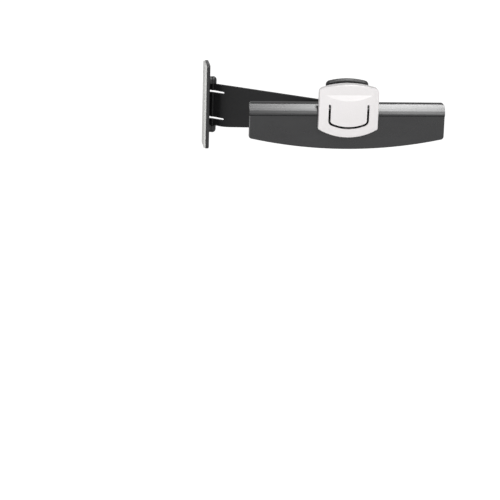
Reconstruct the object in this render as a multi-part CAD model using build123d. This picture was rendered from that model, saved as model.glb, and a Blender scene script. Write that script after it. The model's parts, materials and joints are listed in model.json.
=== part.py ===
from build123d import *
import math
import os

# Swing arm copy holder for the side of a screen.
# The origin is the centre of the adhesive face. X points away from the screen, Y to the back, Z up.
# The arm is drawn in its own frame on the hinge axis, the bar and clip in a frame on the swivel axis,
# and each is then set at its place. Heights are counted from the middle of the hinge.

# Cuts run past the faces they open by this much
OVERRUN = 1.0

# Adhesive pad and mount plate
PAD_THICKNESS = 2.0
PAD_MARGIN = 0.8
PLATE_HEIGHT = 92.6
PLATE_DEPTH = 34.0
PLATE_THICKNESS = 3.6
PLATE_CORNER = 3.4
PLATE_EDGE_ROUND = 1.2

# Snap hinge: domed sockets on the plate, pegs on the ears of the arm
HINGE_STANDOFF = 4.4
SOCKET_RADIUS = 3.9
SOCKET_STRAIGHT = 3.8
SOCKET_STUB_RADIUS = 3.7
SOCKET_BORE_DEPTH = 5.0
HINGE_END_GAP = 0.4
PEG_RADIUS = 1.6
PEG_LENGTH = 4.4
PEG_CLEARANCE = 0.06
PEG_TIP_CHAMFER = 0.5

# Swing arm
ARM_REST_ANGLE = 38.5
ARM_LENGTH = 167.0
ARM_HINGE_HEIGHT = 46.0
ARM_TIP_HEIGHT = 28.5
ARM_THICKNESS = 4.0
ARM_EDGE_ROUND = 1.2
ARM_NECK_RELIEF = 0.9
NOSE_GAP = 0.36
NECK_LENGTH = 5.1
COVE_LENGTH = 7.9
EAR_LENGTH = 17.0
LOWER_EDGE_BLEND = 120.0
EAR_SLOT_SPACING = 29.2
EAR_SLOT_WIDTH = 2.4
EAR_SLOT_END = 16.2
ARM_CORE_DEPTH = 1.6
ARM_CORE_MARGIN = 3.0
ARM_CORE_START = 26.0
ARM_CORE_END_GAP = 12.0
ARM_RIB_COUNT = 4
ARM_RIB_WIDTH = 1.8

# Swivel between arm and bracket
BARREL_RADIUS = 5.0
BARREL_ROOM = 0.3
SWIVEL_PIN_RADIUS = 2.0
SWIVEL_CLEARANCE = 0.06
SWIVEL_END_GAP = 0.15
WASHER_THICKNESS = 0.8
WASHER_RADIUS = 4.6
KNUCKLE_HEIGHT = 6.0
PIN_HEAD_RADIUS = 3.6
PIN_HEAD_HEIGHT = 1.6
SPRING_WASHER_RADIUS = 4.2
SPRING_WASHER_THICKNESS = 0.5
SPRING_WASHER_DISH = 0.5
RING_THICKNESS = 0.8
RING_RADIUS = 3.8
RING_GROOVE_DEPTH = 0.4
RING_MOUTH = 2.4
RING_CLEARANCE = 0.05
PIN_TAIL = 1.2
PIN_FIT = 0.02

# Document bar
BAR_LENGTH = 204.4
BAR_FACE_OFFSET = 18.0
BAR_BOTTOM = -21.9
BAR_TOP = 26.2
BAR_THICKNESS = 2.4
BAR_BOTTOM_RADIUS = 480.0
BAR_CORNER = 3.4
BAR_EDGE_ROUND = 1.0
BAND_FLAT = 1.227
BAND_STEP = 0.6
CREASE_DEPTH = 0.3
ROLL_RADIUS = 11.0
ROLL_SWEEP = 86.0

# Rear bracket with the finger tab
BRACKET_SEAT_GAP = 0.2
BRACKET_THICKNESS = 2.8
BRACKET_WALL = 2.0
BRACKET_WIDTH = 44.6
BRACKET_BOTTOM = -14.0
BRACKET_CORNER = 5.0
TAB_TOP = 50.5
TAB_TOP_RADIUS = 78.0
TAB_CORNER = 4.4
TAB_EDGE_ROUND = 2.6
TAB_LIP_HEIGHT = 15.0
TAB_LIP_DEPTH = 2.8
KNUCKLE_WEB_WIDTH = 8.0

# Screws that hold the bracket to bosses behind the bar
SCREW_INSET = 7.3
SCREW_LOW = -8.0
SCREW_HIGH = 7.0
SCREW_RADIUS = 1.4
SCREW_LENGTH = 9.0
SCREW_HEAD_RADIUS = 2.8
SCREW_HEAD_HEIGHT = 1.7
SCREW_HEAD_CROWN = 0.7
SCREW_RECESS_LENGTH = 3.0
SCREW_RECESS_WIDTH = 0.8
SCREW_RECESS_DEPTH = 0.9
SCREW_HOLE_CLEARANCE = 0.2
BOSS_RADIUS = 3.2

# Clip lever
CLIP_WIDTH = 62.0
CLIP_BOTTOM = -7.9
CLIP_TOP = 47.6
CLIP_TOP_RADIUS = 92.0
CLIP_BOTTOM_RADIUS = 62.0
CLIP_TOP_CORNER = 5.0
CLIP_BOTTOM_CORNER = 1.2
CLIP_WALL = 2.0
CLIP_FRONT = 10.4
CLIP_CROWN_RADIUS = 165.0
CLIP_BELLY_RADIUS = 170.0
CLIP_BELLY_HEIGHT = 24.0
CLIP_CROWN_SHARE = 0.25
CLIP_SKIRT_GAP = 0.5
CLIP_TOP_REACH = 2.5
CLIP_EDGE_ROUND = 0.8
THUMB_STEP_BOTTOM = 30.2
THUMB_STEP_TOP = 36.5
THUMB_STEP_DEPTH = 2.3
THUMB_LEAN = 2.2
THUMB_EDGE_ROUND = 1.4
TONGUE_INSET = 11.0
TONGUE_TOP = 25.8
TONGUE_BOTTOM = 2.3
TONGUE_BOTTOM_RADIUS = 46.0
TONGUE_CORNER = 4.6
TONGUE_SLOT = 2.4

# Pivot of the clip
PIVOT_DROP = 4.7
PIVOT_AHEAD = 3.0
CLIP_PIN_RADIUS = 1.5
CLIP_PIN_CLEARANCE = 0.05
CLIP_PIN_HEAD_RADIUS = 2.2
CLIP_PIN_HEAD_HEIGHT = 1.2
CLIP_RING_THICKNESS = 0.7
CLIP_RING_RADIUS = 2.4
CLIP_RING_ROOM = 0.3
LUG_RADIUS = 3.1
LUG_ROOM = 0.3
LUG_THICKNESS = 3.2
EAR_THICKNESS = 2.8
EAR_GAP = 0.4
EAR_SLOT_MARGIN = 1.4
EAR_SPREAD = 2.0

# Rubber grip on the jaw
GRIP_INSET = 13.0
GRIP_HEIGHT = 3.5
GRIP_THICKNESS = 1.8
GRIP_GAP = 0.3
GRIP_BELOW_SLOT = 0.6
GRIP_LEDGE_MARGIN = 0.8
GRIP_WALL_GAP = 0.1
GRIP_GROOVE_COUNT = 3
GRIP_GROOVE_WIDTH = 0.5
GRIP_GROOVE_DEPTH = 0.6

# Torsion spring on the clip pin
WIRE_RADIUS = 0.5
COIL_PIN_GAP = 0.35
COIL_PITCH = 1.7
COIL_WHOLE_TURNS = 6
COIL_ROOM = 0.3
LEG_TOP_GAP = 2.1
LEG_GAP = 0.4
ARCS_PER_TURN = 4
SAMPLES_PER_ARC = 4

# Places worked out from the sizes above
PLATE_FACE = PAD_THICKNESS + PLATE_THICKNESS
HINGE_X = PLATE_FACE + HINGE_STANDOFF
ARM_TOP = ARM_HINGE_HEIGHT / 2
ARM_TIP_BOTTOM = ARM_TOP - ARM_TIP_HEIGHT
ARM_HALF = ARM_THICKNESS / 2
NOSE_END = NOSE_GAP - HINGE_STANDOFF
SWIVEL_X = HINGE_X + ARM_LENGTH * math.cos(math.radians(ARM_REST_ANGLE))
SWIVEL_Y = -ARM_LENGTH * math.sin(math.radians(ARM_REST_ANGLE))
ARM_PLACE = Location((HINGE_X, 0, 0), (0, 0, -ARM_REST_ANGLE))
BAR_PLACE = Location((SWIVEL_X, SWIVEL_Y, 0))


def ahead(distance):
    """The Y of a point that far in front of the bar's face, in the frame of the swivel."""
    return -(BAR_FACE_OFFSET + distance)


ROLL_CENTRE = (
    ahead(BAND_STEP) + ROLL_RADIUS,
    BAR_TOP - ROLL_RADIUS * math.sin(math.radians(ROLL_SWEEP)),
)
BAND_BOTTOM = ROLL_CENTRE[1] - BAND_FLAT
ROLL_BACK = ROLL_CENTRE[0] - ROLL_RADIUS * math.cos(math.radians(ROLL_SWEEP))
BRACKET_FRONT = ROLL_BACK + BRACKET_SEAT_GAP
BRACKET_REAR = BRACKET_FRONT + BRACKET_THICKNESS
SCREW_SPACING = BRACKET_WIDTH - 2 * SCREW_INSET
PIVOT_HEIGHT = BAR_TOP - PIVOT_DROP
PIVOT = (ahead(PIVOT_AHEAD), PIVOT_HEIGHT)
UPPER_KNUCKLE = ARM_TOP + SWIVEL_END_GAP + WASHER_THICKNESS
LOWER_KNUCKLE = ARM_TIP_BOTTOM - SWIVEL_END_GAP - WASHER_THICKNESS
TONGUE_WIDTH = CLIP_WIDTH - 2 * TONGUE_INSET
GRIP_WIDTH = CLIP_WIDTH - 2 * GRIP_INSET
EAR_INNER = TONGUE_WIDTH / 2 + TONGUE_SLOT / 2 + EAR_SLOT_MARGIN
EAR_OUTER = EAR_INNER + EAR_THICKNESS
LUG_OUTER = EAR_INNER - EAR_GAP
LUG_INNER = LUG_OUTER - LUG_THICKNESS
COIL_RADIUS = CLIP_PIN_RADIUS + COIL_PIN_GAP + WIRE_RADIUS
COIL_END = COIL_PITCH * (COIL_WHOLE_TURNS + 1) / 2


def arc_drop(radius, half_width):
    """How far a circular arc falls from its crown over half its width."""
    return radius - math.sqrt(radius**2 - half_width**2)


def across(face, start, end):
    """A side profile, drawn in Y and Z, carried along X from start to end."""
    return Location((start, 0, 0)) * extrude(Plane.YZ * face, end - start)


def through(face, start, end):
    """An outline, drawn in X and Z, carried along Y from start to end."""
    return Location((0, end, 0)) * extrude(Plane.XZ * face, end - start)


def rod(radius, start, end):
    """A round bar on the Z axis between two heights."""
    return Location((0, 0, start)) * extrude(Circle(radius), end - start)


def cross_rod(centre, radius, start, end):
    """A round bar along X, centred on a point of Y and Z."""
    return across(Location((centre[0], centre[1], 0)) * Circle(radius), start, end)


def washer(radius, hole, start, thickness):
    """A flat ring on the Z axis."""
    return Location((0, 0, start)) * extrude(Circle(radius) - Circle(hole), thickness)


def open_ring(radius, hole, mouth, thickness):
    """A push-on ring: a flat ring with a mouth cut in one side."""
    slit = Location((radius, 0, 0)) * Rectangle(2 * radius, mouth)
    return extrude(Circle(radius) - Circle(hole) - slit, thickness)


def adhesive_pad():
    """Foam pad, a little smaller than the plate."""
    size = (PLATE_DEPTH - 2 * PAD_MARGIN, PLATE_HEIGHT - 2 * PAD_MARGIN)
    return across(RectangleRounded(*size, PLATE_CORNER - PAD_MARGIN), 0, PAD_THICKNESS)


def socket():
    """One domed hinge socket, above the arm, on a round-topped stub; the bore is open downwards."""
    low = ARM_TOP + HINGE_END_GAP
    shoulder = low + SOCKET_STRAIGHT
    tip = shoulder + SOCKET_RADIUS
    lean = SOCKET_RADIUS * math.sin(math.pi / 4)
    side = Polyline((0, tip), (0, low), (SOCKET_RADIUS, low), (SOCKET_RADIUS, shoulder))
    dome = ThreePointArc((SOCKET_RADIUS, shoulder), (lean, shoulder + lean), (0, tip))
    body = revolve(Plane.XZ * make_face([side, dome]), Axis.Z)
    width = SOCKET_STUB_RADIUS
    flanks = Polyline((-width, shoulder), (-width, low), (width, low), (width, shoulder))
    arch = ThreePointArc((width, shoulder), (0, shoulder + width), (-width, shoulder))
    stub = across(make_face([flanks, arch]), -HINGE_STANDOFF - PLATE_THICKNESS / 2, 0)
    bore = rod(PEG_RADIUS + PEG_CLEARANCE, low - OVERRUN, low + SOCKET_BORE_DEPTH)
    return Location((HINGE_X, 0, 0)) * (body + stub - bore)


def mount_plate():
    """Rounded plate with a socket above and below the place of the arm."""
    outline = RectangleRounded(PLATE_DEPTH, PLATE_HEIGHT, PLATE_CORNER)
    plate = across(outline, PAD_THICKNESS, PLATE_FACE)
    plate = fillet(plate.faces().sort_by(Axis.X)[-1].edges(), PLATE_EDGE_ROUND)
    upper = socket()
    return plate + upper + mirror(upper, about=Plane.XY)


def arm_plan():
    """Plan of the arm: a rounded nose past the hinge, a thinner neck, a cove, the plate and the barrel."""
    neck = ARM_HALF - ARM_NECK_RELIEF
    nose = (ARM_HALF + neck) / 2
    start = NOSE_END + nose
    cove_end = NECK_LENGTH + COVE_LENGTH
    turn = (NECK_LENGTH + COVE_LENGTH / 2, -nose)
    outline = [
        Line((start, -neck), (NECK_LENGTH, -neck)),
        TangentArc((NECK_LENGTH, -neck), turn, tangent=(1, 0)),
        TangentArc((cove_end, -ARM_HALF), turn, tangent=(-1, 0)),
        Polyline((cove_end, -ARM_HALF), (ARM_LENGTH, -ARM_HALF), (ARM_LENGTH, ARM_HALF), (start, ARM_HALF)),
        ThreePointArc((start, ARM_HALF), (NOSE_END, ARM_HALF - nose), (start, -neck)),
    ]
    return make_face(outline) + Circle(ARM_HALF) + Location((ARM_LENGTH, 0)) * Circle(BARREL_RADIUS)


def arm_outline():
    """Side view of the arm: level ears, then a lower edge that rises to the barrel."""
    tip_start = ARM_LENGTH - 2 * BARREL_RADIUS
    tip_end = ARM_LENGTH + BARREL_RADIUS
    edge = Polyline(
        (NOSE_END, ARM_TOP), (NOSE_END, -ARM_TOP), (EAR_LENGTH, -ARM_TOP), (tip_start, ARM_TIP_BOTTOM),
        (tip_end, ARM_TIP_BOTTOM), (tip_end, ARM_TOP), close=True,
    )
    face = make_face(edge)
    knee = face.vertices().sort_by_distance((EAR_LENGTH, -ARM_TOP, 0))[0]
    return fillet(knee, LOWER_EDGE_BLEND)


def arm_core():
    """Pockets in the hidden face of the arm, parted by upright ribs."""
    end = ARM_LENGTH - ARM_CORE_END_GAP
    span = end - ARM_CORE_START
    window = Location((ARM_CORE_START + span / 2, 0)) * Rectangle(span, ARM_HINGE_HEIGHT)
    pocket = offset(arm_outline(), -ARM_CORE_MARGIN) & window
    for rib in range(1, ARM_RIB_COUNT + 1):
        place = ARM_CORE_START + span * rib / (ARM_RIB_COUNT + 1)
        pocket -= Location((place, 0)) * Rectangle(ARM_RIB_WIDTH, ARM_HINGE_HEIGHT)
    return through(pocket, ARM_HALF - ARM_CORE_DEPTH, ARM_HALF + OVERRUN)


def swing_arm():
    """Tapered arm with snap ears and pegs at the hinge and a barrel at the far end."""
    plan = Location((0, 0, -ARM_TOP)) * extrude(arm_plan(), ARM_HINGE_HEIGHT)
    arm = plan & through(arm_outline(), -BARREL_RADIUS, BARREL_RADIUS)
    face = arm.faces().sort_by_distance((ARM_LENGTH / 2, -ARM_HALF, 0))[0]
    arm = fillet(face.edges().filter_by(Axis.Z, reverse=True), ARM_EDGE_ROUND)
    slot_start = NOSE_END - OVERRUN - EAR_SLOT_WIDTH
    slot = SlotOverall(EAR_SLOT_END - slot_start, EAR_SLOT_WIDTH)
    middle = (EAR_SLOT_END + slot_start) / 2
    for side in (1, -1):
        place = Location((middle, side * EAR_SLOT_SPACING / 2))
        arm -= through(place * slot, -BARREL_RADIUS, BARREL_RADIUS)
    peg = rod(PEG_RADIUS, ARM_TOP - OVERRUN, ARM_TOP + PEG_LENGTH)
    peg = chamfer(peg.edges().sort_by(Axis.Z)[-1], PEG_TIP_CHAMFER)
    arm = arm + peg + mirror(peg, about=Plane.XY) - arm_core()
    bore = rod(SWIVEL_PIN_RADIUS + SWIVEL_CLEARANCE, ARM_TIP_BOTTOM - OVERRUN, ARM_TOP + OVERRUN)
    return ARM_PLACE * (arm - Location((ARM_LENGTH, 0, 0)) * bore)


def swivel_washer(start):
    """Bearing washer of the swivel."""
    hole = SWIVEL_PIN_RADIUS + SWIVEL_CLEARANCE
    return BAR_PLACE * washer(WASHER_RADIUS, hole, start, WASHER_THICKNESS)


def swivel_foot():
    """Heights under the lower knuckle: its bottom, the spring washer's and the ring's."""
    knuckle = LOWER_KNUCKLE - KNUCKLE_HEIGHT
    dished = knuckle - SPRING_WASHER_THICKNESS - SPRING_WASHER_DISH
    return knuckle, dished, dished - RING_THICKNESS


def swivel_pin():
    """Headed pin with a groove for its ring."""
    knuckle, dished, ring = swivel_foot()
    top = UPPER_KNUCKLE + KNUCKLE_HEIGHT
    shank = rod(SWIVEL_PIN_RADIUS, ring - PIN_TAIL, top)
    head = rod(PIN_HEAD_RADIUS, top, top + PIN_HEAD_HEIGHT)
    head = fillet(head.edges().sort_by(Axis.Z)[-1], PIN_HEAD_HEIGHT / 2)
    core = SWIVEL_PIN_RADIUS - RING_GROOVE_DEPTH
    groove_height = RING_THICKNESS + RING_CLEARANCE
    groove = washer(SWIVEL_PIN_RADIUS + OVERRUN, core, ring - RING_CLEARANCE, groove_height)
    return BAR_PLACE * (shank + head - groove)


def swivel_spring_washer():
    """Dished washer: a thin cone between the knuckle and the ring."""
    knuckle, dished, ring = swivel_foot()
    hole = SWIVEL_PIN_RADIUS + SWIVEL_CLEARANCE
    top = knuckle - SPRING_WASHER_THICKNESS
    section = Polyline(
        (hole, dished), (SPRING_WASHER_RADIUS, top), (SPRING_WASHER_RADIUS, knuckle),
        (hole, dished + SPRING_WASHER_THICKNESS), close=True,
    )
    return BAR_PLACE * revolve(Plane.XZ * make_face(section), Axis.Z)


def swivel_ring():
    """Push-on ring in the groove of the swivel pin."""
    knuckle, dished, ring = swivel_foot()
    hole = SWIVEL_PIN_RADIUS - RING_GROOVE_DEPTH + RING_CLEARANCE
    return BAR_PLACE * Location((0, 0, ring)) * open_ring(RING_RADIUS, hole, RING_MOUTH, RING_THICKNESS)


def bar_profile():
    """Section of the bar: flat face, a small step and the top rolled back."""
    centre_y, centre_z = ROLL_CENTRE
    inner = ROLL_RADIUS - BAR_THICKNESS
    sweep = math.radians(ROLL_SWEEP)
    face, band = ahead(0), ahead(BAND_STEP)

    def on_roll(radius, angle):
        return (centre_y - radius * math.cos(angle), centre_z + radius * math.sin(angle))

    front = Polyline(
        (face, BAR_BOTTOM), (face, BAND_BOTTOM - BAND_STEP), (band, BAND_BOTTOM), (band, centre_z),
    )
    outer_roll = ThreePointArc(*(on_roll(ROLL_RADIUS, angle) for angle in (0, sweep / 2, sweep)))
    lip = Line(on_roll(ROLL_RADIUS, sweep), on_roll(inner, sweep))
    inner_roll = ThreePointArc(*(on_roll(inner, angle) for angle in (sweep, sweep / 2, 0)))
    back = Polyline(
        (band + BAR_THICKNESS, centre_z), (band + BAR_THICKNESS, BAND_BOTTOM),
        (face + BAR_THICKNESS, BAND_BOTTOM - BAND_STEP), (face + BAR_THICKNESS, BAR_BOTTOM),
        (face, BAR_BOTTOM),
    )
    return make_face([front, outer_roll, lip, inner_roll, back])


def bar_crease():
    """Section of the crease cut under the step of the rolled band."""
    height = BAND_BOTTOM - BAND_STEP - CREASE_DEPTH
    spread = CREASE_DEPTH + OVERRUN
    front = ahead(OVERRUN)
    edge = Polyline(
        (ahead(-CREASE_DEPTH), height), (front, height + spread), (front, height - spread), close=True,
    )
    return make_face(edge)


def bar_outline():
    """Front view of the bar: straight top, rounded corners and a bowed lower edge."""
    half = BAR_LENGTH / 2
    low = BAR_BOTTOM + arc_drop(BAR_BOTTOM_RADIUS, half)
    sides = Polyline((half, low), (half, BAR_TOP), (-half, BAR_TOP), (-half, low))
    bow = ThreePointArc((-half, low), (0, BAR_BOTTOM), (half, low))
    face = make_face([sides, bow])
    return fillet(face.vertices(), BAR_CORNER)


def bar_lug(start, end):
    """One pivot lug, standing out of the rolled top."""
    pivot_y, pivot_z = PIVOT
    nose = Location((pivot_y, pivot_z)) * Circle(LUG_RADIUS)
    reach = ROLL_BACK - pivot_y
    root = Location((pivot_y + reach / 2, pivot_z)) * Rectangle(reach, 2 * LUG_RADIUS)
    lug = across(nose + root, start, end)
    hollow = cross_rod(ROLL_CENTRE, ROLL_RADIUS - BAR_THICKNESS / 2, start - OVERRUN, end + OVERRUN)
    bore = cross_rod(PIVOT, CLIP_PIN_RADIUS + PIN_FIT, start - OVERRUN, end + OVERRUN)
    return lug - hollow, bore


def coil_room():
    """Room for the clip's spring, kept free in the bar and in the clip."""
    return cross_rod(PIVOT, COIL_RADIUS + WIRE_RADIUS + COIL_ROOM, -COIL_END, COIL_END)


def screw_places():
    """Places of the four screws, in X and Z."""
    return [(x, z) for x in (-SCREW_SPACING / 2, SCREW_SPACING / 2) for z in (SCREW_LOW, SCREW_HIGH)]


def screw_tip():
    """The Y of the screws' tips, measured from under their heads."""
    return BRACKET_REAR - SCREW_LENGTH


def document_bar():
    """Glossy bar with the clip's pivot lugs in front and the bracket's bosses behind."""
    half = BAR_LENGTH / 2
    body = across(bar_profile(), -half, half)
    outline = through(bar_outline(), ahead(BAND_STEP + OVERRUN), ROLL_CENTRE[0] + ROLL_RADIUS)
    body = body & outline
    flat = body.faces().sort_by_distance((0, ahead(0), 0))[0]
    rim = [edge for edge in flat.edges() if edge.center().Z < BAND_BOTTOM - 2 * BAND_STEP]
    body = fillet(rim, BAR_EDGE_ROUND) - across(bar_crease(), -half, half)
    for start, end in ((-LUG_OUTER, -LUG_INNER), (LUG_INNER, LUG_OUTER)):
        lug, bore = bar_lug(start, end)
        body = body + lug - bore
    body -= coil_room()
    back = ahead(0) + BAR_THICKNESS
    for x, z in screw_places():
        centre = Location((x, z))
        body += through(centre * Circle(BOSS_RADIUS), back - BAR_THICKNESS / 2, BRACKET_FRONT)
        thread = centre * Circle(SCREW_RADIUS + PIN_FIT)
        body -= through(thread, screw_tip() - PIN_FIT, BRACKET_FRONT + OVERRUN)
    return BAR_PLACE * body


def bracket_outline():
    """Rear view of the bracket: rounded foot and the arched finger tab."""
    half = BRACKET_WIDTH / 2
    corner = TAB_TOP - arc_drop(TAB_TOP_RADIUS, half)
    sides = Polyline((-half, corner), (-half, BRACKET_BOTTOM), (half, BRACKET_BOTTOM), (half, corner))
    arch = ThreePointArc((half, corner), (0, TAB_TOP), (-half, corner))
    face = make_face([sides, arch])
    by_height = face.vertices().sort_by(Axis.Y)
    face = fillet(by_height[:2], BRACKET_CORNER)
    return fillet(face.vertices().sort_by(Axis.Y)[-2:], TAB_CORNER)


def bracket_wall_profile(inset):
    """Side view of the bracket's rim, which follows the inside of the rolled top."""
    front = ahead(0) + BAR_THICKNESS + BRACKET_SEAT_GAP
    centre_y, centre_z = ROLL_CENTRE
    radius = centre_y - front
    lean = radius * math.sin(math.pi / 4)
    low = BRACKET_BOTTOM + inset
    edge = Polyline((front, centre_z), (front, low), (centre_y, low), (centre_y, centre_z + radius))
    arch = ThreePointArc((centre_y, centre_z + radius), (centre_y - lean, centre_z + lean), (front, centre_z))
    return make_face([edge, arch])


def rear_bracket():
    """Bracket behind the bar: hollow foot, thick-lipped finger tab, swivel knuckles, room for the barrel."""
    half = BRACKET_WIDTH / 2
    rim = across(bracket_wall_profile(0), -half, half)
    hollow = across(bracket_wall_profile(BRACKET_WALL), BRACKET_WALL - half, half - BRACKET_WALL)
    outline = bracket_outline()
    lip_edge = Location((0, TAB_TOP)) * Rectangle(BRACKET_WIDTH + OVERRUN, 2 * TAB_LIP_HEIGHT)
    lip = through(outline & lip_edge, BRACKET_FRONT, BRACKET_REAR + TAB_LIP_DEPTH)
    lip = fillet(lip.edges().group_by(Axis.Z)[-1], TAB_EDGE_ROUND)
    body = (rim - hollow) & through(outline, ahead(0), BRACKET_FRONT)
    body += through(outline - lip_edge, BRACKET_FRONT, BRACKET_REAR)
    body += lip
    top = UPPER_KNUCKLE + KNUCKLE_HEIGHT
    bottom, dished, ring = swivel_foot()
    room = BARREL_RADIUS + BARREL_ROOM
    body -= rod(room, ring - PIN_TAIL - BARREL_ROOM, top + PIN_HEAD_HEIGHT + BARREL_ROOM)
    reach = -BRACKET_REAR + BRACKET_THICKNESS / 2
    for start, end in ((UPPER_KNUCKLE, top), (bottom, LOWER_KNUCKLE)):
        web = Location((0, -reach / 2, start)) * Rectangle(KNUCKLE_WEB_WIDTH, reach)
        body += rod(BARREL_RADIUS, start, end) + extrude(web, end - start)
    body -= rod(SWIVEL_PIN_RADIUS + PIN_FIT, bottom - OVERRUN, top + OVERRUN) - rod(
        SWIVEL_PIN_RADIUS + PIN_FIT + OVERRUN, LOWER_KNUCKLE, UPPER_KNUCKLE
    )
    for x, z in screw_places():
        hole = Location((x, z)) * Circle(SCREW_RADIUS + SCREW_HOLE_CLEARANCE)
        body -= through(hole, BRACKET_FRONT - OVERRUN, BRACKET_REAR + OVERRUN)
    return BAR_PLACE * body


def bracket_screws():
    """Four crowned screws with a cross recess, driven from behind."""
    head = rod(SCREW_HEAD_RADIUS, 0, SCREW_HEAD_HEIGHT)
    head = fillet(head.edges().sort_by(Axis.Z)[-1], SCREW_HEAD_CROWN)
    bar = Rectangle(SCREW_RECESS_LENGTH, SCREW_RECESS_WIDTH)
    cross = bar + Location((0, 0, 0), (0, 0, 90)) * bar
    floor = SCREW_HEAD_HEIGHT - SCREW_RECESS_DEPTH
    head -= Location((0, 0, floor)) * extrude(cross, SCREW_RECESS_DEPTH + OVERRUN)
    screw = head + rod(SCREW_RADIUS, -SCREW_LENGTH, 0)
    upright = Location((0, BRACKET_REAR, 0), (-90, 0, 0)) * screw
    return [BAR_PLACE * Location((x, 0, z)) * upright for x, z in screw_places()]


def clip_outline():
    """Front view of the clip: arched top, upright sides and a bowed jaw."""
    half = CLIP_WIDTH / 2
    high = CLIP_TOP - arc_drop(CLIP_TOP_RADIUS, half)
    low = CLIP_BOTTOM + arc_drop(CLIP_BOTTOM_RADIUS, half)
    outline = [
        ThreePointArc((-half, high), (0, CLIP_TOP), (half, high)),
        Line((half, high), (half, low)),
        ThreePointArc((half, low), (0, CLIP_BOTTOM), (-half, low)),
        Line((-half, low), (-half, high)),
    ]
    face = make_face(outline)
    face = fillet(face.vertices().sort_by(Axis.Y)[-2:], CLIP_TOP_CORNER)
    return fillet(face.vertices().sort_by(Axis.Y)[:2], CLIP_BOTTOM_CORNER)


def clip_crown(inset):
    """Doubly crowned body of the clip: a bowed plan turned about a far axis behind it."""
    half = CLIP_WIDTH / 2
    front = ahead(CLIP_FRONT - inset)
    side = front + arc_drop(CLIP_CROWN_RADIUS, half)
    back = ahead(-CLIP_BELLY_RADIUS * CLIP_CROWN_SHARE)
    bow = ThreePointArc((-half, side), (0, front), (half, side))
    flank = Polyline((half, side), (half, back), (-half, back), (-half, side))
    section = Location((0, 0, CLIP_BELLY_HEIGHT)) * make_face([bow, flank])
    axis = Axis((0, ahead(CLIP_FRONT) + CLIP_BELLY_RADIUS, CLIP_BELLY_HEIGHT), (1, 0, 0))
    reach = math.degrees(math.asin(CLIP_WIDTH / CLIP_BELLY_RADIUS))
    return revolve(section.rotate(axis, -reach), axis, 2 * reach)


def thumb_land(inset):
    """Everything behind the thumb pad's sloping face, under the arched top, with its front edge rounded."""
    half = CLIP_WIDTH / 2 + OVERRUN
    land = CLIP_FRONT - THUMB_STEP_DEPTH - inset
    low, high = THUMB_STEP_BOTTOM - CLIP_WALL, CLIP_TOP + OVERRUN
    lean = math.tan(math.radians(THUMB_LEAN))
    side = CLIP_TOP - arc_drop(CLIP_TOP_RADIUS, half)
    arch = ThreePointArc((-half, side), (0, CLIP_TOP), (half, side))
    flanks = Polyline((half, side), (half, low), (-half, low), (-half, side))
    back = ahead(-CLIP_TOP_REACH - OVERRUN)
    block = through(make_face([arch, flanks]), ahead(CLIP_FRONT + OVERRUN), back)
    slope = Polyline(
        (ahead(land - lean * (THUMB_STEP_TOP - low)), low),
        (ahead(land + lean * (high - THUMB_STEP_TOP)), high),
        (back, high), (back, low), close=True,
    )
    block = block & across(make_face(slope), -half, half)
    edge = block.edges().sort_by_distance((0, ahead(land), CLIP_TOP))[0]
    return fillet(edge, THUMB_EDGE_ROUND)


def thumb_cut(inset):
    """What is cut away above the sloping step, in front of the thumb pad."""
    slope = (THUMB_STEP_TOP - THUMB_STEP_BOTTOM) / THUMB_STEP_DEPTH
    land = CLIP_FRONT - THUMB_STEP_DEPTH - inset
    clear = CLIP_FRONT + CLIP_WALL
    high = CLIP_TOP + OVERRUN
    edge = Polyline(
        (ahead(clear), THUMB_STEP_TOP - (clear - land) * slope), (ahead(land), THUMB_STEP_TOP),
        (ahead(-CLIP_TOP_REACH), THUMB_STEP_TOP), (ahead(-CLIP_TOP_REACH), high), (ahead(clear), high),
        close=True,
    )
    return across(make_face(edge), -CLIP_WIDTH / 2, CLIP_WIDTH / 2) - thumb_land(inset)


def clip_block():
    """The clip before it is hollowed: the crowned front with rounded edges, stepped back at the thumb pad."""
    skirt = CLIP_SKIRT_GAP
    band = BAND_STEP + CLIP_SKIRT_GAP
    high = CLIP_TOP + OVERRUN
    front = CLIP_FRONT + OVERRUN
    keep = Polyline(
        (ahead(front), CLIP_BOTTOM - OVERRUN), (ahead(skirt), CLIP_BOTTOM - OVERRUN),
        (ahead(skirt), BAND_BOTTOM - 2 * BAND_STEP), (ahead(band), BAND_BOTTOM - BAND_STEP),
        (ahead(band), ROLL_CENTRE[1] + BAND_STEP), (ahead(-CLIP_TOP_REACH), high),
        (ahead(front), high), close=True,
    )
    half = CLIP_WIDTH / 2
    outline = through(clip_outline(), ahead(front), ahead(-CLIP_TOP_REACH) + OVERRUN)
    block = outline & across(make_face(keep), -half, half) & clip_crown(0)
    crown = block.faces().sort_by_distance((0, ahead(CLIP_FRONT), CLIP_BELLY_HEIGHT))[0]
    return fillet(crown.edges(), CLIP_EDGE_ROUND) - thumb_cut(0)


def tongue_slot():
    """The U-shaped slot round the clip's tongue."""
    half = TONGUE_WIDTH / 2
    low = TONGUE_BOTTOM + arc_drop(TONGUE_BOTTOM_RADIUS, half)
    left = Line((-half, TONGUE_TOP), (-half, low))
    bow = ThreePointArc((-half, low), (0, TONGUE_BOTTOM), (half, low))
    right = Line((half, low), (half, TONGUE_TOP))
    outer = make_face([left, bow, right, Line((half, TONGUE_TOP), (-half, TONGUE_TOP))])
    outer = fillet(outer.vertices().sort_by(Axis.Y)[:2], TONGUE_CORNER)
    path = [edge for edge in outer.edges() if edge.center().Y < TONGUE_TOP - TONGUE_SLOT]
    slot = trace(path, TONGUE_SLOT)
    for x in (-half, half):
        slot += Location((x, TONGUE_TOP)) * Circle(TONGUE_SLOT / 2)
    return slot


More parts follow.
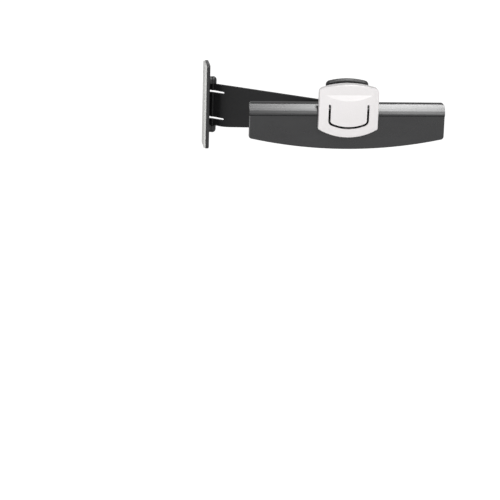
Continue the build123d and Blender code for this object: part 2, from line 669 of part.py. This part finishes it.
def clip_ear(start, end):
    """One ear of the clip: a round eye on the pin, spreading to the front wall."""
    pivot_y, pivot_z = PIVOT
    front = ahead(CLIP_FRONT)
    eye = Location((pivot_y, pivot_z)) * Circle(LUG_RADIUS)
    spread = LUG_RADIUS + EAR_SPREAD
    web = make_face(Polyline(
        (pivot_y, pivot_z + LUG_RADIUS), (pivot_y, pivot_z - LUG_RADIUS),
        (front, pivot_z - spread), (front, pivot_z + spread), close=True,
    ))
    return across(eye + web, start, end)


def grip_heights():
    """Bottom and top of the jaw's rubber grip."""
    top = TONGUE_BOTTOM - TONGUE_SLOT / 2 - GRIP_BELOW_SLOT
    return top - GRIP_HEIGHT, top


def jaw_ledge():
    """Solid ledge behind the jaw that the rubber grip sits on."""
    low, high = grip_heights()
    back = GRIP_GAP + GRIP_THICKNESS
    width = GRIP_WIDTH + 2 * GRIP_LEDGE_MARGIN
    face = Location((0, (low + high) / 2)) * Rectangle(width, GRIP_HEIGHT)
    return through(face, ahead(CLIP_FRONT), ahead(back))


def clip_lever():
    """Hollow clip: thumb pad, slotted tongue, ears, a grip ledge and room for lugs, pin and spring."""
    block = clip_block()
    inner_outline = offset(clip_outline(), -CLIP_WALL)
    inner = through(inner_outline, ahead(CLIP_FRONT), ahead(-CLIP_TOP_REACH) + OVERRUN)
    hollow = (inner & clip_crown(CLIP_WALL)) - thumb_cut(CLIP_WALL)
    shell = block - hollow
    shell -= through(tongue_slot(), ahead(CLIP_FRONT + OVERRUN), ahead(PIVOT_AHEAD))
    for start, end in ((-EAR_OUTER, -EAR_INNER), (EAR_INNER, EAR_OUTER)):
        shell += clip_ear(start, end) & block
    shell += jaw_ledge() & block
    bore_end = EAR_OUTER + CLIP_RING_THICKNESS + CLIP_PIN_HEAD_HEIGHT + 2 * EAR_GAP
    bore = cross_rod(PIVOT, CLIP_PIN_RADIUS + CLIP_PIN_CLEARANCE, -bore_end, bore_end)
    room = cross_rod(PIVOT, CLIP_RING_RADIUS + CLIP_RING_ROOM, EAR_OUTER + EAR_GAP / 2, bore_end)
    room += cross_rod(PIVOT, LUG_RADIUS + LUG_ROOM, LUG_INNER - EAR_GAP / 2, LUG_OUTER + EAR_GAP / 2)
    return BAR_PLACE * (shell - bore - coil_room() - room - mirror(room, about=Plane.YZ))


def jaw_grip():
    """Grooved rubber strip on the jaw's ledge, kept off the clip's wall."""
    low, high = grip_heights()
    face = Location((0, (low + high) / 2)) * Rectangle(GRIP_WIDTH, GRIP_HEIGHT)
    inside = offset(clip_outline(), -CLIP_WALL - GRIP_WALL_GAP)
    strip = through(face & inside, ahead(GRIP_GAP + GRIP_THICKNESS), ahead(GRIP_GAP))
    for groove in range(1, GRIP_GROOVE_COUNT + 1):
        height = low + GRIP_HEIGHT * groove / (GRIP_GROOVE_COUNT + 1)
        cut = Location((0, height)) * Rectangle(GRIP_WIDTH + 2 * OVERRUN, GRIP_GROOVE_WIDTH)
        strip -= through(cut, ahead(GRIP_GAP + GRIP_GROOVE_DEPTH), ahead(GRIP_GAP - OVERRUN))
    return BAR_PLACE * strip


def clip_pin():
    """Headed pin along the bar, with a groove for its ring."""
    start = -EAR_OUTER - EAR_GAP
    ring = EAR_OUTER + EAR_GAP
    end = ring + CLIP_RING_THICKNESS + CLIP_PIN_HEAD_HEIGHT
    pin = cross_rod(PIVOT, CLIP_PIN_RADIUS, start, end)
    pin += cross_rod(PIVOT, CLIP_PIN_HEAD_RADIUS, start - CLIP_PIN_HEAD_HEIGHT, start)
    groove_end = ring + CLIP_RING_THICKNESS + RING_CLEARANCE
    groove = cross_rod(PIVOT, CLIP_PIN_RADIUS + OVERRUN, ring, groove_end)
    groove -= cross_rod(PIVOT, CLIP_PIN_RADIUS - RING_GROOVE_DEPTH, ring - OVERRUN, ring + 2 * OVERRUN)
    return BAR_PLACE * (pin - groove)


def clip_pin_ring():
    """Push-on ring in the groove of the clip pin."""
    hole = CLIP_PIN_RADIUS - RING_GROOVE_DEPTH + RING_CLEARANCE
    ring = open_ring(CLIP_RING_RADIUS, hole, RING_MOUTH, CLIP_RING_THICKNESS)
    turned = Location((EAR_OUTER + EAR_GAP, *PIVOT), (0, 90, 0)) * ring
    return BAR_PLACE * turned


def tangent_angle(target_ahead, target_z, side):
    """Angle on the coil where a leg to the target leaves it, and the leg's length."""
    dy, dz = target_ahead - PIVOT_AHEAD, target_z - PIVOT_HEIGHT
    reach = math.hypot(dy, dz)
    angle = math.atan2(dz, dy) + side * math.acos(COIL_RADIUS / reach)
    return angle, math.sqrt(reach**2 - COIL_RADIUS**2)


def coil_state(angle, start_angle, start_x):
    """Point and direction of the wire at an angle of its helix."""
    rise = COIL_PITCH / (2 * math.pi)
    point = Vector(
        start_x + rise * (angle - start_angle),
        ahead(PIVOT_AHEAD + COIL_RADIUS * math.cos(angle)),
        PIVOT_HEIGHT + COIL_RADIUS * math.sin(angle),
    )
    direction = Vector(rise, COIL_RADIUS * math.sin(angle), COIL_RADIUS * math.cos(angle))
    return point, direction.normalized()


def biarc(start, start_dir, end, end_dir):
    """Two tangent arcs that join two points along given directions."""
    chord = end - start
    both = start_dir + end_dir
    a = 2 * (start_dir.dot(end_dir) - 1)
    b = -2 * chord.dot(both)
    c = chord.dot(chord)
    step = (-b - math.sqrt(b * b - 4 * a * c)) / (2 * a)
    first = start + start_dir * step
    second = end - end_dir * step
    joint = (first + second) / 2
    joint_dir = (second - first).normalized()
    return [TangentArc(start, joint, tangent=start_dir), TangentArc(joint, end, tangent=joint_dir)]


def least_self_gap(points, skip):
    """Least gap between stretches of wire that lie at least skip points apart."""
    gaps = [
        (points[i] - points[j]).length - 2 * WIRE_RADIUS
        for i in range(len(points)) for j in range(i + skip, len(points))
    ]
    return min(gaps)


def clip_spring():
    """Torsion spring: a coil on the clip pin, one leg on the finger tab and one under the thumb pad."""
    top = CLIP_TOP - CLIP_WALL - LEG_TOP_GAP
    tab_face = -(BAR_FACE_OFFSET + BRACKET_FRONT)
    pad_back = CLIP_FRONT - THUMB_STEP_DEPTH - CLIP_WALL
    rear, rear_leg = tangent_angle(tab_face + LEG_GAP + WIRE_RADIUS, top, 1)
    front, front_leg = tangent_angle(pad_back - LEG_GAP - WIRE_RADIUS, top, -1)
    front += 2 * math.pi * COIL_WHOLE_TURNS
    start_x = -COIL_PITCH * (front - rear) / (4 * math.pi)
    steps = math.ceil((front - rear) * ARCS_PER_TURN / (2 * math.pi))
    states = [coil_state(rear + (front - rear) * step / steps, rear, start_x) for step in range(steps + 1)]
    stretch = math.hypot(COIL_RADIUS, COIL_PITCH / (2 * math.pi)) / COIL_RADIUS
    first, first_dir = states[0]
    last, last_dir = states[-1]
    tail = first - first_dir * (rear_leg * stretch)
    tip = last + last_dir * (front_leg * stretch)
    edges = [Line(tail, first)]
    for (point, direction), (after, after_dir) in zip(states, states[1:]):
        edges += biarc(point, direction, after, after_dir)
    edges.append(Line(last, tip))
    path = Wire([edge for line in edges for edge in line.edges()])
    section = Plane(tail, z_dir=first_dir) * Circle(WIRE_RADIUS)
    count = SAMPLES_PER_ARC * steps
    points = [coil_state(rear + (front - rear) * k / count, rear, start_x)[0] for k in range(count + 1)]
    gap = least_self_gap(points, SAMPLES_PER_ARC * ARCS_PER_TURN // 2)
    print(f"clip_spring: coil radius {COIL_RADIUS} mm, least gap to itself {gap:.2f} mm")
    return BAR_PLACE * sweep(section, path)


NODES = {
    "adhesive_pad": adhesive_pad,
    "mount_plate": mount_plate,
    "swing_arm": swing_arm,
    "swivel_pin": swivel_pin,
    "swivel_washer_upper": lambda: swivel_washer(ARM_TOP + SWIVEL_END_GAP),
    "swivel_washer_lower": lambda: swivel_washer(LOWER_KNUCKLE),
    "swivel_spring_washer": swivel_spring_washer,
    "swivel_ring": swivel_ring,
    "document_bar": document_bar,
    "rear_bracket": rear_bracket,
    "bracket_screws": bracket_screws,
    "clip_lever": clip_lever,
    "jaw_grip": jaw_grip,
    "clip_pin": clip_pin,
    "clip_pin_ring": clip_pin_ring,
    "clip_spring": clip_spring,
}

os.makedirs("parts", exist_ok=True)
for name, make in NODES.items():
    shape = make()
    if isinstance(shape, list):
        shape = Compound(children=shape)
    export_step(shape, f"parts/{name}.step")
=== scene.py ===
import json
import math
from collections import namedtuple

import bpy
import numpy as np
from mathutils import Matrix, Vector


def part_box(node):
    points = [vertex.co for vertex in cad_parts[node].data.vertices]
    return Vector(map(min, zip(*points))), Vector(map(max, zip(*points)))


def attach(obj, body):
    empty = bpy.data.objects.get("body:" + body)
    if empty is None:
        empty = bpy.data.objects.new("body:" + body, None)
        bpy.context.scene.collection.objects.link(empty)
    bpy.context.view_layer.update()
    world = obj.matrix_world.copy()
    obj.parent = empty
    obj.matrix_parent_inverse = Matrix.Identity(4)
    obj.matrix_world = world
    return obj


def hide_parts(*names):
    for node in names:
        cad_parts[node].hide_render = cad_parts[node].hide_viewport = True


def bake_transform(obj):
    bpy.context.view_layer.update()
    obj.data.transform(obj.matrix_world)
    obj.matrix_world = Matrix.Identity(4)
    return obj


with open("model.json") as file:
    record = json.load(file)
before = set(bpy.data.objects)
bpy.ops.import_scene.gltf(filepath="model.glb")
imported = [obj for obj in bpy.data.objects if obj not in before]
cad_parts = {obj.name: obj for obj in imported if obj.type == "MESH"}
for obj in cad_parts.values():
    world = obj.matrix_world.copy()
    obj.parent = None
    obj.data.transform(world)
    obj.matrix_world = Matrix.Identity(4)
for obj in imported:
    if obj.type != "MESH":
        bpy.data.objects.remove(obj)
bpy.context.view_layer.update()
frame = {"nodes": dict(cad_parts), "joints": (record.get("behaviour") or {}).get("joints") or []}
nodes = frame["nodes"]
joints = {joint["name"]: joint for joint in frame["joints"]}

# Camera: its place in metres, its turn in degrees, its lens and sensor in millimetres
CAMERA_PLACE = (-0.14889, -2.01860, 0.40737)
CAMERA_YAW = 5.777
CAMERA_PITCH = 15.765
CAMERA_ROLL = 1.551
CAMERA_LENS = 135.77
CAMERA_SENSOR = 36.0

# Floor, in metres
FLOOR_HEIGHT = -0.72
FLOOR_REACH = 9.0
FLOOR_MIDDLE = (0.12, -0.1, 0.0)

# Arch of light about the bar's line, which has one Y and Z: metres, and degrees of height for its panels
BAR_LINE = (-0.12, 0.02)
ARCH_RADIUS = 1.5
LOW_START = -4
FRONT_START = 24
TOP_START = 50

# Its columns: sides in metres, the height where the top panel ends, the radiance of each panel,
# and whether the top panel lights the object or only shows in mirror images
Column = namedtuple("Column", "name sides top_end top front low top_lit")
ARCH_COLUMNS = (
    Column("far_left", sides=(0.15, 0.24), top_end=103, top=4.5, front=3.9, low=1.2, top_lit=True),
    Column("left", sides=(0.24, 0.30), top_end=101, top=4.8, front=5.5, low=2.0, top_lit=True),
    Column("middle", sides=(0.30, 0.42), top_end=105, top=12.0, front=8.8, low=2.4, top_lit=False),
    Column("right", sides=(0.42, 0.60), top_end=112, top=13.0, front=11.5, low=5.0, top_lit=False),
)

# Clip spring, in metres, with the ends of its legs measured from the clip's pin
WIRE_RADIUS = 0.0005
COIL_RADIUS = 0.00235
COIL_PITCH = 0.0017
COIL_TURNS = 6
LEG_HEIGHT = 0.022
REAR_LEG_AHEAD = -0.011933
FRONT_LEG_AHEAD = 0.0022
STEPS_A_TURN = 40
STEPS_A_LEG = 12
WIRE_SIDES = 12

# Foam pad, in metres
FOAM_BULGE = 0.00025
FOAM_CORNER = 0.0026
FOAM_RINGS = 9
STEPS_A_CORNER = 12

# Grain of the black mouldings, in cycles per metre
MOULD_MOTTLE = 900.0
MOULD_GLOSS = 260.0
MOULD_GRAIN = 2600.0

WHITE = (1, 1, 1, 1)


def mesh_piece(name, points, faces, material, smooth=True):
    """An object at the origin whose place is in its mesh."""
    mesh = bpy.data.meshes.new(name)
    mesh.from_pydata([tuple(p) for p in points], [], [tuple(f) for f in faces])
    mesh.polygons.foreach_set("use_smooth", np.full(len(mesh.polygons), smooth))
    mesh.materials.append(material)
    mesh.update()
    piece = bpy.data.objects.new(name, mesh)
    bpy.context.scene.collection.objects.link(piece)
    return piece


def ring_faces(rings, around):
    """Quads between successive closed rings of a grid, and a closing face at each end."""
    k, j = np.meshgrid(np.arange(rings - 1), np.arange(around), indexing="ij")
    after = (j + 1) % around
    near = k * around
    far = near + around
    quads = np.stack([near + j, near + after, far + after, far + j], -1)
    first = list(range(around))[::-1]
    last = list(range((rings - 1) * around, rings * around))
    return quads.reshape(-1, 4).tolist() + [first, last]


# Materials

def nodes_of(name):
    """A new node material, its tree and its main shader."""
    material = bpy.data.materials.new(name)
    material.use_nodes = True
    tree = material.node_tree
    return material, tree, tree.nodes["Principled BSDF"]


def node(tree, kind, sockets=None, **settings):
    """A node with its settings and the fixed values of its sockets."""
    made = tree.nodes.new(kind)
    for key, value in settings.items():
        setattr(made, key, value)
    for key, value in (sockets or {}).items():
        made.inputs[key].default_value = value
    return made


def object_place(tree, stretch=(1, 1, 1)):
    """Object coordinates, stretched along the axes of the piece."""
    place = node(tree, "ShaderNodeTexCoord")
    mapping = node(tree, "ShaderNodeMapping", {"Scale": stretch})
    tree.links.new(place.outputs["Object"], mapping.inputs["Vector"])
    return mapping.outputs["Vector"]


def noise(tree, scale, detail=3.0, roughness=0.5, stretch=(1, 1, 1)):
    """Noise on Object coordinates; the scale is in cycles per metre."""
    made = node(tree, "ShaderNodeTexNoise", {"Scale": scale, "Detail": detail, "Roughness": roughness})
    tree.links.new(object_place(tree, stretch), made.inputs["Vector"])
    return made.outputs["Fac"]


def cells(tree, scale):
    """Distance to the nearest of scattered points, so many to a metre of Object coordinates."""
    made = node(tree, "ShaderNodeTexVoronoi", {"Scale": scale})
    tree.links.new(object_place(tree), made.inputs["Vector"])
    return made.outputs["Distance"]


def two_tone(tree, factor, dark, light, start=0.3, end=0.7):
    """A colour that runs from dark to light as the factor goes from start to end."""
    ramp = node(tree, "ShaderNodeValToRGB")
    for element, place, colour in zip(ramp.color_ramp.elements, (start, end), (dark, light)):
        element.position = place
        element.color = (*colour, 1)
    tree.links.new(factor, ramp.inputs["Fac"])
    return ramp.outputs["Color"]


def ramp_value(tree, value, start, end, low, high):
    """A value that runs from low to high as another goes from start to end."""
    sockets = {"From Min": start, "From Max": end, "To Min": low, "To Max": high}
    made = node(tree, "ShaderNodeMapRange", sockets)
    tree.links.new(value, made.inputs["Value"])
    return made.outputs["Result"]


def spread(tree, factor, low, high):
    """A value that runs from low to high as the factor goes over its middle half."""
    return ramp_value(tree, factor, start=0.25, end=0.75, low=low, high=high)


def surface(tree, shader, colour, roughness):
    """Gives the shader its colour and its roughness."""
    tree.links.new(colour, shader.inputs["Base Color"])
    tree.links.new(roughness, shader.inputs["Roughness"])


def relief(tree, shader, height, strength, depth):
    """Bump of a given depth, in metres."""
    made = node(tree, "ShaderNodeBump", {"Strength": strength, "Distance": depth})
    tree.links.new(height, made.inputs["Height"])
    tree.links.new(made.outputs["Normal"], shader.inputs["Normal"])


def black_moulding(name, dark, light, roughness, sheen, strength, depth):
    """Black moulding with the fine grain of a spark-eroded mould."""
    material, tree, shader = nodes_of(name)
    colour = two_tone(tree, noise(tree, MOULD_MOTTLE), dark, light)
    surface(tree, shader, colour, spread(tree, noise(tree, MOULD_GLOSS), *roughness))
    shader.inputs["Specular IOR Level"].default_value = sheen
    relief(tree, shader, noise(tree, MOULD_GRAIN, detail=2.0), strength, depth)
    return material


def matt_moulding():
    """Matt black moulding: a grain that takes little sheen."""
    return black_moulding(
        "matt_black_moulding",
        dark=(0.0085, 0.0085, 0.009),
        light=(0.0125, 0.0125, 0.013),
        roughness=(0.42, 0.52),
        sheen=0.22,
        strength=0.25,
        depth=0.00006,
    )


def satin_moulding():
    """Satin black moulding: a finer grain that takes more of a sheen."""
    return black_moulding(
        "satin_black_moulding",
        dark=(0.012, 0.012, 0.0125),
        light=(0.017, 0.017, 0.0175),
        roughness=(0.32, 0.4),
        sheen=0.45,
        strength=0.15,
        depth=0.00004,
    )


def polished_black():
    """Polished black moulding: a faint waviness, and roughness that varies along the bar."""
    material, tree, shader = nodes_of("polished_black")
    tint = noise(tree, scale=45.0)
    colour = two_tone(tree, tint, dark=(0.0165, 0.0165, 0.0175), light=(0.021, 0.021, 0.022))
    rub = noise(tree, scale=90.0, detail=4.0, roughness=0.6, stretch=(0.25, 1, 2.5))
    surface(tree, shader, colour, spread(tree, rub, low=0.13, high=0.21))
    shader.inputs["Specular IOR Level"].default_value = 0.65
    relief(tree, shader, noise(tree, scale=130.0, detail=1.0), strength=0.06, depth=0.0003)
    return material


def silver_paint():
    """Satin silver-white paint: fine flakes in a pale warm coat."""
    material, tree, shader = nodes_of("silver_white_paint")
    flakes = cells(tree, scale=4200.0)
    dark = (0.76, 0.735, 0.735)
    light = (0.83, 0.805, 0.805)
    colour = two_tone(tree, flakes, dark, light, start=0.1, end=0.6)
    surface(tree, shader, colour, spread(tree, noise(tree, scale=700.0), low=0.36, high=0.46))
    shader.inputs["Coat Weight"].default_value = 0.08
    shader.inputs["Coat Roughness"].default_value = 0.2
    relief(tree, shader, noise(tree, scale=3200.0, detail=2.0), strength=0.05, depth=0.00003)
    return material


def drawn_metal(name, dark, light, roughness, marks):
    """Bare metal whose drawing marks change its colour and its roughness together."""
    material, tree, shader = nodes_of(name)
    drawn = noise(tree, **marks)
    surface(tree, shader, two_tone(tree, drawn, dark, light), spread(tree, drawn, *roughness))
    shader.inputs["Metallic"].default_value = 1.0
    return material


def plated_steel():
    """Plated steel with fine drawing marks."""
    return drawn_metal(
        "plated_steel",
        dark=(0.42, 0.42, 0.43),
        light=(0.6, 0.6, 0.61),
        roughness=(0.24, 0.4),
        marks={"scale": 1500.0, "detail": 4.0, "roughness": 0.6, "stretch": (1, 1, 0.15)},
    )


def spring_wire():
    """Drawn spring wire, darker than the plated pieces."""
    return drawn_metal(
        "drawn_wire",
        dark=(0.34, 0.34, 0.35),
        light=(0.5, 0.5, 0.51),
        roughness=(0.25, 0.38),
        marks={"scale": 2500.0},
    )


def natural_nylon():
    """Natural nylon: milky and a little uneven."""
    material, tree, shader = nodes_of("natural_nylon")
    colour = two_tone(tree, noise(tree, scale=500.0), dark=(0.70, 0.69, 0.64), light=(0.78, 0.77, 0.73))
    surface(tree, shader, colour, spread(tree, noise(tree, scale=1200.0), low=0.4, high=0.55))
    shader.inputs["Subsurface Weight"].default_value = 0.15
    shader.inputs["Subsurface Radius"].default_value = (0.001, 0.001, 0.0008)
    return material


def grip_rubber():
    """Dull black rubber with a fine tooth."""
    material, tree, shader = nodes_of("grip_rubber")
    mottle = noise(tree, scale=1100.0)
    colour = two_tone(tree, mottle, dark=(0.022, 0.022, 0.022), light=(0.036, 0.036, 0.036))
    surface(tree, shader, colour, spread(tree, noise(tree, scale=1800.0), low=0.7, high=0.85))
    relief(tree, shader, noise(tree, scale=2200.0, detail=2.0), strength=0.4, depth=0.0001)
    return material


def pale_foam():
    """Pale closed-cell foam: small cells, darker between them."""
    material, tree, shader = nodes_of("pale_foam")
    grain = cells(tree, scale=1900.0)
    inside = (0.80, 0.80, 0.78)
    between = (0.66, 0.66, 0.64)
    colour = two_tone(tree, grain, inside, between, start=0.15, end=0.65)
    surface(tree, shader, colour, spread(tree, noise(tree, scale=800.0), low=0.75, high=0.9))
    relief(tree, shader, grain, strength=0.5, depth=0.0002)
    return material


# New pieces

def rounded_outline(width, height, corner, per_corner):
    """Closed outline: a quarter circle of the corner radius at each corner, joined by straight sides."""
    turn = np.linspace(0, math.pi / 2, per_corner)
    quarters = np.arange(4)[:, None] * math.pi / 2 + turn
    sign_y = np.array([1, -1, -1, 1])[:, None]
    sign_z = np.array([1, 1, -1, -1])[:, None]
    y = sign_y * (width / 2 - corner) + corner * np.cos(quarters)
    z = sign_z * (height / 2 - corner) + corner * np.sin(quarters)
    return y.ravel(), z.ravel()


def foam_pad(material):
    """Foam pad: its outline carried through its thickness t, pushed out by bulge x sin(pi t)."""
    low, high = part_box("adhesive_pad")
    size = high - low
    rings = []
    for t in np.linspace(0, 1, FOAM_RINGS):
        out = FOAM_BULGE * math.sin(math.pi * t)
        y, z = rounded_outline(size.y + 2 * out, size.z + 2 * out, FOAM_CORNER + out, STEPS_A_CORNER)
        rings.append(np.stack([np.full_like(y, low.x + t * size.x), y, z], -1))
    faces = ring_faces(FOAM_RINGS, len(rings[0]))
    pad = mesh_piece("foam_pad", np.concatenate(rings), faces, material)
    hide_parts("adhesive_pad")
    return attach(pad, "mount")


def leg_angle(ahead, side):
    """Angle on the coil where a straight leg to its end leaves it, and the leg's length."""
    reach = math.hypot(ahead, LEG_HEIGHT)
    angle = math.atan2(LEG_HEIGHT, ahead) + side * math.acos(COIL_RADIUS / reach)
    return angle, math.sqrt(reach**2 - COIL_RADIUS**2)


def spring_line(pivot):
    """Centre line of the spring: a straight leg, a helix about the pin, and a straight leg.

    On the helix, x grows by the pitch each turn, and the point lies at (cos, sin) of the angle,
    times the coil's radius, ahead of and above the pin. The two ends of the helix, in x from the
    pin's middle, come with the line."""
    rear, rear_leg = leg_angle(REAR_LEG_AHEAD, 1)
    front, front_leg = leg_angle(FRONT_LEG_AHEAD, -1)
    front += 2 * math.pi * COIL_TURNS
    rise = COIL_PITCH / (2 * math.pi)
    angle = np.linspace(rear, front, STEPS_A_TURN * COIL_TURNS)
    along = rise * (angle - (rear + front) / 2)
    across = COIL_RADIUS * np.cos(angle)
    height = COIL_RADIUS * np.sin(angle)
    coil = np.stack([along, -across, height], -1)
    slope = np.stack([np.full_like(angle, rise), height, across], -1) / COIL_RADIUS
    step = np.linspace(0, 1, STEPS_A_LEG)[:, None]
    tail = coil[0] - slope[0] * rear_leg * (1 - step)
    tip = coil[-1] + slope[-1] * front_leg * step
    line = np.concatenate([tail[:-1], coil, tip[1:]])
    return line + np.array(pivot), along[[0, -1]]


def wire_tube(line, radius, around):
    """Tube: a circle of the radius carried along the line, with one of its axes kept close to X."""
    tangent = np.gradient(line, axis=0)
    tangent /= np.linalg.norm(tangent, axis=1, keepdims=True)
    first = np.array([1.0, 0, 0]) - tangent * tangent[:, :1]
    first /= np.linalg.norm(first, axis=1, keepdims=True)
    second = np.cross(tangent, first)
    turn = np.linspace(0, 2 * math.pi, around, endpoint=False)[None, :, None]
    circle = first[:, None] * np.cos(turn) + second[:, None] * np.sin(turn)
    return (line[:, None] + radius * circle).reshape(-1, 3), ring_faces(len(line), around)


def torsion_spring(material):
    """The clip's spring, which winds up between the bar and the clip."""
    pivot = joints["clip_squeeze"]["pos_m"]
    line, ends = spring_line(pivot)
    points, faces = wire_tube(line, WIRE_RADIUS, WIRE_SIDES)
    spring = mesh_piece("torsion_spring", points, faces, material)
    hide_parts("clip_spring")
    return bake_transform(spring)


# Stage

def by_ray(tree, seen, mirrored, lit):
    """A strength for what the camera sees, another for mirror images and a third for diffuse light."""
    path = node(tree, "ShaderNodeLightPath")
    gloss = node(tree, "ShaderNodeMapRange", {"To Min": lit})
    direct = node(tree, "ShaderNodeMapRange")
    for made, strength, ray in ((gloss, mirrored, "Is Glossy Ray"), (direct, seen, "Is Camera Ray")):
        tree.links.new(path.outputs[ray], made.inputs["Value"])
        if isinstance(strength, float):
            made.inputs["To Max"].default_value = strength
        else:
            tree.links.new(strength, made.inputs["To Max"])
    tree.links.new(gloss.outputs["Result"], direct.inputs["To Min"])
    return direct.outputs["Result"]


def white_world():
    """A white backdrop for the camera, dimmer in mirror images, and a plain even fill for diffuse light."""
    world = bpy.data.worlds.new("studio")
    bpy.context.scene.world = world
    world.use_nodes = True
    tree = world.node_tree
    background = tree.nodes["Background"]
    background.inputs["Color"].default_value = WHITE
    tree.links.new(by_ray(tree, seen=1.0, mirrored=0.58, lit=0.3), background.inputs["Strength"])


def pale_floor():
    """Pale floor: it reads as white where no shadow lies; in mirror images it is dimmed near the object, a
    painted shade beneath it.
    """
    material, tree, shader = nodes_of("pale_floor")
    colour = two_tone(tree, noise(tree, scale=3.0), dark=(0.60, 0.60, 0.60), light=(0.63, 0.63, 0.63))
    tree.links.new(colour, shader.inputs["Base Color"])
    shader.inputs["Roughness"].default_value = 0.9
    shader.inputs["Specular IOR Level"].default_value = 0.1
    shader.inputs["Emission Color"].default_value = WHITE
    away = node(tree, "ShaderNodeVectorMath", {1: FLOOR_MIDDLE}, operation="DISTANCE")
    tree.links.new(object_place(tree), away.inputs[0])
    distance = away.outputs["Value"]
    seen = ramp_value(tree, distance, start=0.5, end=4.0, low=0.66, high=0.9)
    # Painted shade: the floor's glow in mirror images is lowered near the object, standing in for the shade
    # under it
    mirrored = ramp_value(tree, distance, start=0.85, end=1.2, low=0.05, high=0.6)
    tree.links.new(by_ray(tree, seen, mirrored, lit=0.14), shader.inputs["Emission Strength"])
    r, z = FLOOR_REACH, FLOOR_HEIGHT
    corners = [(-r, -r, z), (r, -r, z), (r, r, z), (-r, r, z)]
    floor = mesh_piece("floor", corners, [(0, 1, 2, 3)], material, smooth=False)


def softbox(name, place, aim, size, radiance, lit=True):
    """A rectangular soft light of a given radiance: power = radiance x pi x area.

    Where it isn't lit, it only shows in mirror images."""
    light = bpy.data.lights.new(name, "AREA")
    light.shape = "RECTANGLE"
    light.size, light.size_y = size
    light.energy = radiance * math.pi * size[0] * size[1]
    lamp = bpy.data.objects.new(name, light)
    back = Vector(place) - Vector(aim)
    lamp.location = place
    lamp.rotation_mode = "QUATERNION"
    lamp.rotation_quaternion = back.to_track_quat("Z", "Y")
    lamp.visible_diffuse = lit
    bpy.context.scene.collection.objects.link(lamp)


def arch_light(name, sides, low, high, radiance, lit=True):
    """One panel of an arch of light over the bar, square to it, between two height angles."""
    x = sum(sides) / 2
    middle = math.radians(low + high) / 2
    span = 2 * ARCH_RADIUS * math.tan(math.radians(high - low) / 2)
    aim = (x, BAR_LINE[0], BAR_LINE[1])
    place = (x, aim[1] - ARCH_RADIUS * math.cos(middle), aim[2] + ARCH_RADIUS * math.sin(middle))
    softbox(name, place, aim, (sides[1] - sides[0], span), radiance, lit)


def light_arch():
    """The arch: a top, a front and a low panel in each column, brighter towards the right."""
    for column in ARCH_COLUMNS:
        name = "top_" + column.name
        arch_light(name, column.sides, TOP_START, column.top_end, column.top, column.top_lit)
    for column in ARCH_COLUMNS:
        arch_light("front_" + column.name, column.sides, FRONT_START, TOP_START, column.front)
    for column in ARCH_COLUMNS:
        arch_light("low_" + column.name, column.sides, LOW_START, FRONT_START, column.low)


def photo_camera():
    """The camera at the photograph's viewing angle."""
    yaw, pitch, roll = (math.radians(a) for a in (CAMERA_YAW, CAMERA_PITCH, CAMERA_ROLL))
    ahead = Vector((math.sin(yaw) * math.cos(pitch), math.cos(yaw) * math.cos(pitch), -math.sin(pitch)))
    level = Vector((math.cos(yaw), -math.sin(yaw), 0))
    up = level.cross(ahead)
    side = level * math.cos(roll) + up * math.sin(roll)
    top = up * math.cos(roll) - level * math.sin(roll)
    data = bpy.data.cameras.new("camera")
    data.lens = CAMERA_LENS
    data.sensor_width = CAMERA_SENSOR
    camera = bpy.data.objects.new("camera", data)
    place = Matrix((side, top, -ahead)).transposed().to_4x4()
    place.translation = CAMERA_PLACE
    camera.matrix_world = place
    bpy.context.scene.collection.objects.link(camera)
    bpy.context.scene.camera = camera


def dress(material, *names):
    """Gives CAD nodes a material."""
    for name in names:
        mesh = nodes[name].data
        mesh.materials.clear()
        mesh.materials.append(material)


steel = plated_steel()
dress(matt_moulding(), "swing_arm")
dress(satin_moulding(), "mount_plate", "rear_bracket")
dress(polished_black(), "document_bar")
dress(silver_paint(), "clip_lever")
dress(steel, "swivel_pin", "swivel_spring_washer", "swivel_ring")
dress(steel, "bracket_screws", "clip_pin", "clip_pin_ring")
dress(natural_nylon(), "swivel_washer_upper", "swivel_washer_lower")
dress(grip_rubber(), "jaw_grip")
foam_pad(pale_foam())
torsion_spring(spring_wire())

white_world()
pale_floor()
light_arch()
softbox("left_fill", place=(-1.2, -1.7, -0.33), aim=(0.12, -0.1, 0.02), size=(1.4, 0.6), radiance=4.6)
softbox("back_fill", place=(-1.0, 1.3, 0.9), aim=(0.12, -0.05, 0.0), size=(1.0, 1.0), radiance=3.7)
photo_camera()
bpy.context.scene.view_settings.view_transform = "Standard"
